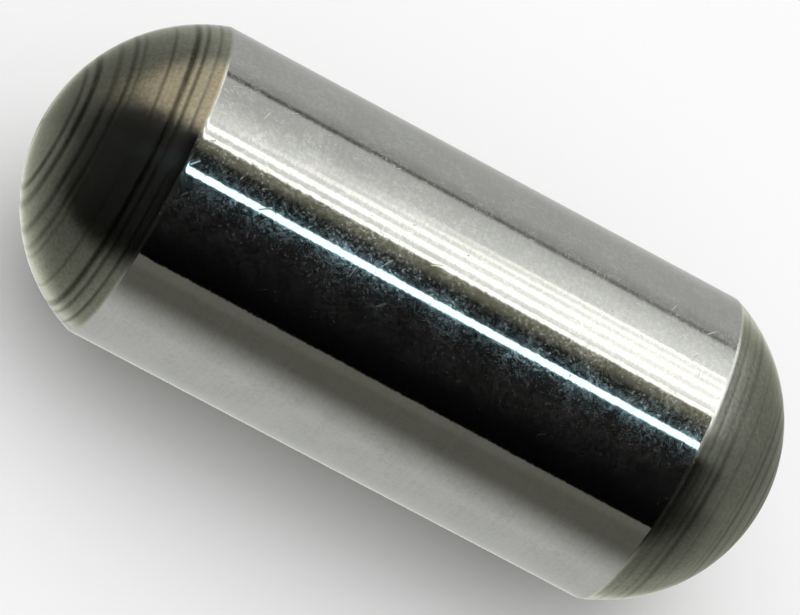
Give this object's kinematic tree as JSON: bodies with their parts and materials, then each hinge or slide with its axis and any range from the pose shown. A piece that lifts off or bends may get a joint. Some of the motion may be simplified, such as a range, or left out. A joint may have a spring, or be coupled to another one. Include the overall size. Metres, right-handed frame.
{
  "type": "dowel pin",
  "caption": "Solid round steel dowel pin with a ground and polished body and a turned dome at each end, pressed into a reamed hole to locate or key two parts.",
  "frame": {"origin": "middle of the pin, on its axis, halfway between the two tips", "axes": "+X along the pin's axis; +Y and +Z across it; the pin is the same all round and at both ends"},
  "size_m": [0.0192, 0.008, 0.008],
  "materials": {
    "ground_steel": "body ground and polished along its length, domes left as turned with fine ring marks"
  },
  "bodies": {
    "root": {"dowel_pin": "ground_steel"}
  },
  "joints": []
}
